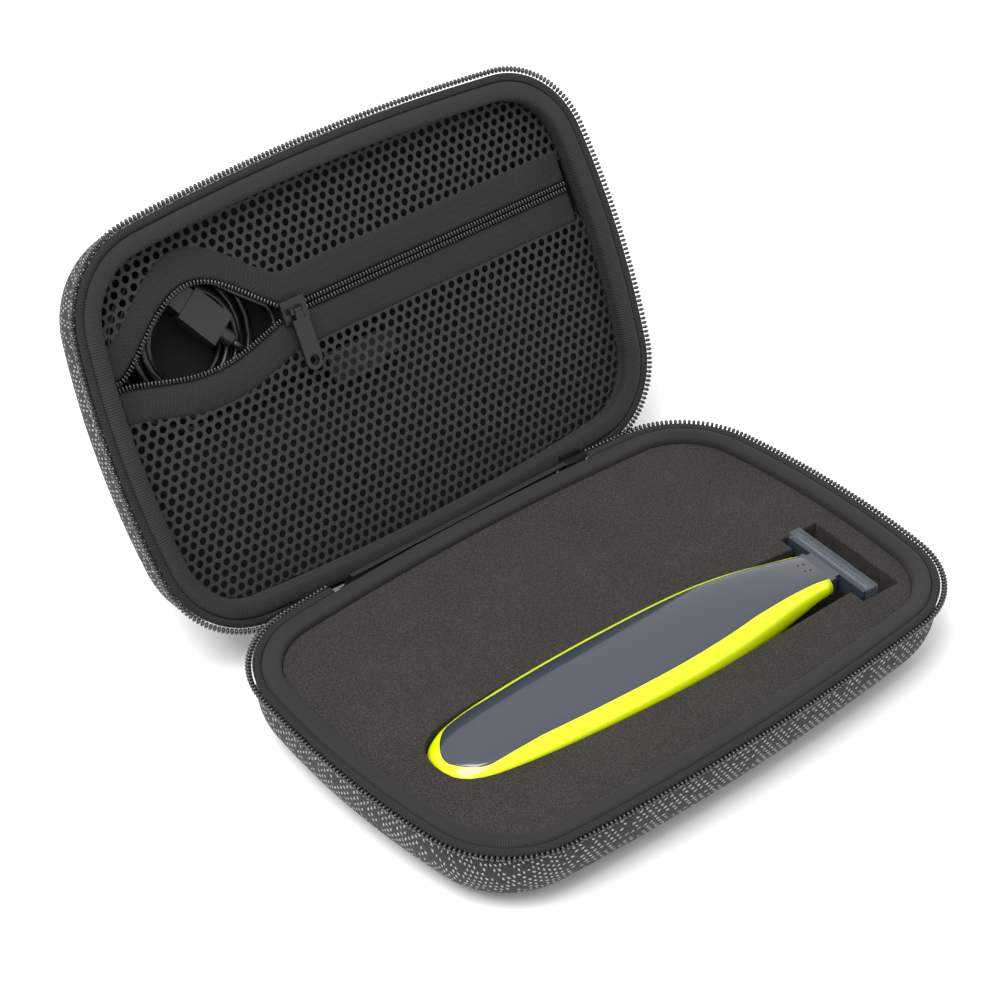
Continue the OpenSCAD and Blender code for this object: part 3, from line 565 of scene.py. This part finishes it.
def mouth(x):
    """How far the pocket stands open there, from 0 to 1."""
    if x <= MOUTH_FROM or x >= SLIDER_X:
        return 0
    return math.sin(math.pi * (x - MOUTH_FROM) / (SLIDER_X - MOUTH_FROM)) ** 1.4


def edge_y(x, sign):
    """Edge of the tape at the chain: sign -1 is the upper tape and 1 the lower one."""
    return -POCKET_Y + sign * (CHAIN_HALF + (MOUTH_UP if sign < 0 else MOUTH_DOWN) * mouth(x))


def swell(x, y):
    """How far the cloth stands out of its plane: over the wound lead, and in soft waves."""
    lump = 1.5 * math.exp(-(((x + 56) / 34) ** 2) - ((y + 10) / 22) ** 2)
    wave = noise.noise(Vector((x / 22, y / 16, 3.1))) * 0.9
    inside = min(1, max(0, (86 - abs(x)) / 14), max(0, (54 - abs(y)) / 12))
    return (lump + wave) * inside


def in_plan(x, y, m):
    s, centre, r, a = place_on_rim(x, y)
    return math.hypot(abs(x) - centre[0], abs(y) - centre[1]) < r - m


def tape_place(sign):
    def place(u, v):
        x = -POCKET_END + 2 * POCKET_END * u
        y = edge_y(x, sign) + sign * TAPE_W * v
        roll = 0.5 * (1 - (2 * v - 1) ** 6)
        z = -DEEP - 0.35 + roll + swell(x, y) * min(1, v * 2) + MOUTH_LIFT * mouth(x) * (1 - v)
        return Vector((x, y, z)), (x, TAPE_W * v)
    return place


for sign, name in ((-1, "upper"), (1, "lower")):
    bm = new_mesh()
    for j in range(-24, 25):
        for i in range(-30, 31):
            x, y = (i + 0.5 * (j % 2)) * COL, j * ROW
            if in_plan(x, y, NET_IN) and sign * (y - edge_y(x, sign)) > NET_UNDER:
                spot = Matrix.Translation((x, y, 0))
                bmesh.ops.create_circle(bm, cap_ends=True, segments=6, radius=HOLE_R, matrix=spot)
    bmesh.ops.remove_doubles(bm, verts=bm.verts, dist=0.05)
    cells = list(bm.faces)
    bmesh.ops.inset_individual(bm, faces=cells, thickness=STRAND)
    bmesh.ops.delete(bm, geom=cells, context="FACES")
    for v in bm.verts:
        v.co.z = -DEEP - 0.25 + swell(v.co.x, v.co.y)
    net = piece(bm, "net_" + name, LID, "lid", "mesh_cloth", ["mesh_" + name], recalc=False)
    modifier(net, "SUBSURF", levels=1, render_levels=1)
    modifier(net, "SOLIDIFY", thickness=0.0004, offset=0)
    bm = new_mesh()
    grid(bm, 150, 10, tape_place(sign))
    tape = piece(bm, "pocket_band_" + name, LID, "lid", "zip_tape", ["pocket_tape_" + name], recalc=False)
    modifier(tape, "SOLIDIFY", thickness=0.0005, offset=0)
    bm = new_mesh()
    x = MOUTH_FROM - 1.0
    while x < POCKET_END:
        y = edge_y(x, sign) - sign * 0.75
        turn = math.atan2(edge_y(x + 0.5, sign) - edge_y(x - 0.5, sign), 1)
        spot = Matrix.Translation((x, y, -DEEP + 0.5 + MOUTH_LIFT * mouth(x)))
        local = spot @ Matrix.Rotation(turn, 4, "Z") @ LINK
        bmesh.ops.create_icosphere(bm, subdivisions=1, radius=1, matrix=local)
        x += LINK_GAP * math.cos(turn)
    piece(bm, "pocket_teeth_" + name, LID, "lid", "zip_coil", ["pocket_coil_" + name])
swept(STRIP, False, "mesh_strip", LID, "lid", "ribbed_binding", "mesh_edge")

# Cloth hinge. A band between the backs of both rims that bends as the lid moves,
# laid through points (back, up) from the hinge's axis.
HINGE_BAND = [(-0.4, 6.1), (1.4, 6), (3, 3.8), (4, 0.5), (5.4, -2.2), (7.4, -3.4)]
HINGE_L, HINGE_W = 88, 14


def hinge_place(u, v):
    k = min(int(v * 5), 4)
    t = v * 5 - k
    a, b = HINGE_BAND[k], HINGE_BAND[k + 1]
    spot = Vector((-HINGE_L / 2 + HINGE_L * u, HINGE_Y + a[0] + (b[0] - a[0]) * t, HINGE_Z + a[1] + (b[1] - a[1]) * t))
    return spot, (HINGE_L * u, HINGE_W * v)


bm = new_mesh()
grid(bm, 60, 15, hinge_place)
hinge = piece(bm, "hinge_cloth", MM, None, "zip_tape", ["spine_strip"])
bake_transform(hinge, "base", "lid", start=(0, 0.0658, 0.0257), end=(0, 0.0722, 0.0163))

# Charging lead. It goes in along the lining, winds four turns inward and then back out on top,
# and ends in a loop at the connector that shows in the pocket's mouth.
TURNS, CLIMB, PITCH, INNER, STEP, FLOOR = 4, 0.5, 3.4, 12.9, 3.45, 20.9
CENTRE, OUTER = (-56, -22), INNER + TURNS * PITCH
ALL_TURNS, TURN_STEPS = 6.64, 24
LOOP_C, LOOP_R, LOOP_Z, LOOP_RISE = (-35.1, -19.2), 8, -12.9 - 0.4, 0.4
LEAD_R, LEAD_SIDES = 1.25, 10


def lead_spot(k):
    t = k / TURN_STEPS
    a = math.radians(90 + 360 * t)
    over = t - TURNS
    r = OUTER - PITCH * t if over <= 0 else INNER if over <= CLIMB else INNER + PITCH * (over - CLIMB)
    climb = 0 if over <= 0 else 1 if over >= CLIMB else (1 - math.cos(math.pi * over / CLIMB)) / 2
    return Vector((CENTRE[0] + r * math.cos(a), CENTRE[1] + r * math.sin(a), STEP * climb - FLOOR))


def loop_spot(a):
    t = math.radians(a)
    return Vector((LOOP_C[0] + LOOP_R * math.cos(t), LOOP_C[1] + LOOP_R * math.sin(t),
                   LOOP_Z + LOOP_RISE * (a + 34) / 180))


wound = [lead_spot(k) for k in range(int(ALL_TURNS * TURN_STEPS) + 1)]
loop = [loop_spot(a) for a in range(-34, 147, 18)]
lead_path = ([Vector((x, CENTRE[1] + OUTER, -FLOOR)) for x in (-12, -22, -32, -42, -50)] + wound
             + [wound[-1].lerp(loop[0], u) for u in (0.3, 0.6, 0.85)] + loop + [Vector((-43.787, -17.835, -12.9))])
bm = new_mesh()
rings = []
for i, p in enumerate(lead_path):
    d = (lead_path[min(i + 1, len(lead_path) - 1)] - lead_path[max(i - 1, 0)]).normalized()
    across = d.cross(Vector((0, 0, 1))).normalized()
    up = across.cross(d)
    turns = [math.pi * j / 5 for j in range(LEAD_SIDES)]
    rings.append([bm.verts.new(p + LEAD_R * (math.cos(a) * across + math.sin(a) * up)) for a in turns])
for a, b in zip(rings, rings[1:]):
    for j in range(LEAD_SIDES):
        bm.faces.new((a[j - 1], a[j], b[j], b[j - 1]))
close_holes(bm)
piece(bm, "charging_lead", LID, "lid", "lead_sheath", ["lead_coil"])

# CAD parts that keep their shape: sliders, pulls, connector, contacts, plug and the
# trimmer's inner works. They get their finish and eased edges.
SLOTS = {part["node"]: part["material_slot"] for part in frame["record"]["subparts"]}
FINE_EDGE, EASED_EDGE = 0.0003, 0.0007
EDGES = {"main_pull": FINE_EDGE, "pocket_slider": FINE_EDGE, "pocket_pull": FINE_EDGE, "lead_connector": EASED_EDGE,
         "lead_plug": EASED_EDGE, "blade_frame": EASED_EDGE, "trimmer_neck": EASED_EDGE}
for node in ("main_slider", "main_pull", "pocket_slider", "pocket_pull", "lead_connector", "lead_contacts", "lead_plug",
             "trimmer_button", "trimmer_battery", "trimmer_motor", "trimmer_board", "trimmer_neck", "trimmer_socket",
             "blade_frame", "blade_cutter", "blade_guard"):
    ob, slot = frame["nodes"][node], SLOTS[node]
    ob.data.materials.clear()
    ob.data.materials.append(LOOKS[slot])
    if node in EDGES:
        modifier(ob, "BEVEL", width=EDGES[node], segments=2, limit_method="ANGLE")

# Light and floor. A white floor under an even white sky, with one broad lamp
# from the left that leaves a soft shadow to the right.
FLOOR_HALF, LAMP_POWER, LAMP_SIZE, LAMP_AT, SKY = 4, 18, 0.8, (-0.5, -0.1, 1.1), 0.95
bm = new_mesh()
bmesh.ops.create_grid(bm, x_segments=1, y_segments=1, size=FLOOR_HALF)
me = bpy.data.meshes.new("floor")
bm.to_mesh(me)
bm.free()
floor = bpy.data.objects.new("floor", me)
bpy.context.collection.objects.link(floor)
floor.data.materials.append(material("floor_white", grey(0.95), 0.9))
lamp = bpy.data.objects.new("key", bpy.data.lights.new("key", "AREA"))
bpy.context.collection.objects.link(lamp)
lamp.data.energy, lamp.data.size, lamp.location = LAMP_POWER, LAMP_SIZE, LAMP_AT
lamp.rotation_euler = (Vector((0, 0, 0.03)) - Vector(LAMP_AT)).to_track_quat("-Z", "Y").to_euler()
world = bpy.data.worlds.new("studio")
bpy.context.scene.world = world
world.use_nodes = True
world.node_tree.nodes["Background"].inputs[0].default_value = (1, 1, 1, 1)
world.node_tree.nodes["Background"].inputs[1].default_value = SKY
bpy.context.scene.view_settings.view_transform = "Standard"
